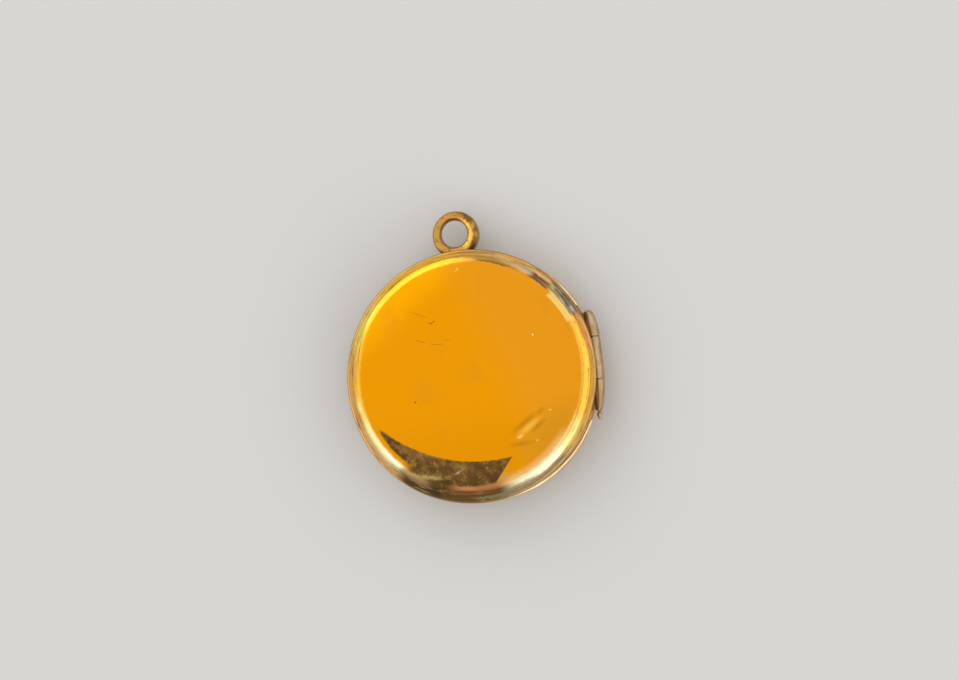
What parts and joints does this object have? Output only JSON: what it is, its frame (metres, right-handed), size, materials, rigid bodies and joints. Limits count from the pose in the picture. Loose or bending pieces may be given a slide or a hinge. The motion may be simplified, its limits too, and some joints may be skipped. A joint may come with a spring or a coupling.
{
  "type": "round locket",
  "caption": "Plain round locket in polished gold-filled metal: a hollow hinged case with low domed faces, two rim beads and a soldered hanging ring.",
  "frame": {"origin": "centre of the flat face on the back that the closed locket rests on", "axes": "+Z through the case towards the front cover, +Y towards the hanging ring, +X towards the hinge"},
  "size_m": [0.0256, 0.0292, 0.0062],
  "materials": {
    "gold_case": "polished, rubbed, with tarnish in the seam",
    "gold_cover": "highly polished, with fine scratches and small dents",
    "pin": "plain drawn wire"
  },
  "bodies": {
    "case": {"back_case": "gold_case", "hinge_pin": "pin"},
    "cover": {"front_cover": "gold_cover"}
  },
  "joints": [
    {"name": "cover_hinge", "type": "hinge", "parent": "case", "child": "cover", "pos_m": [0.01242, 0, 0.0031], "axis": [0, 1, 0], "range_deg": [0, 160]}
  ]
}
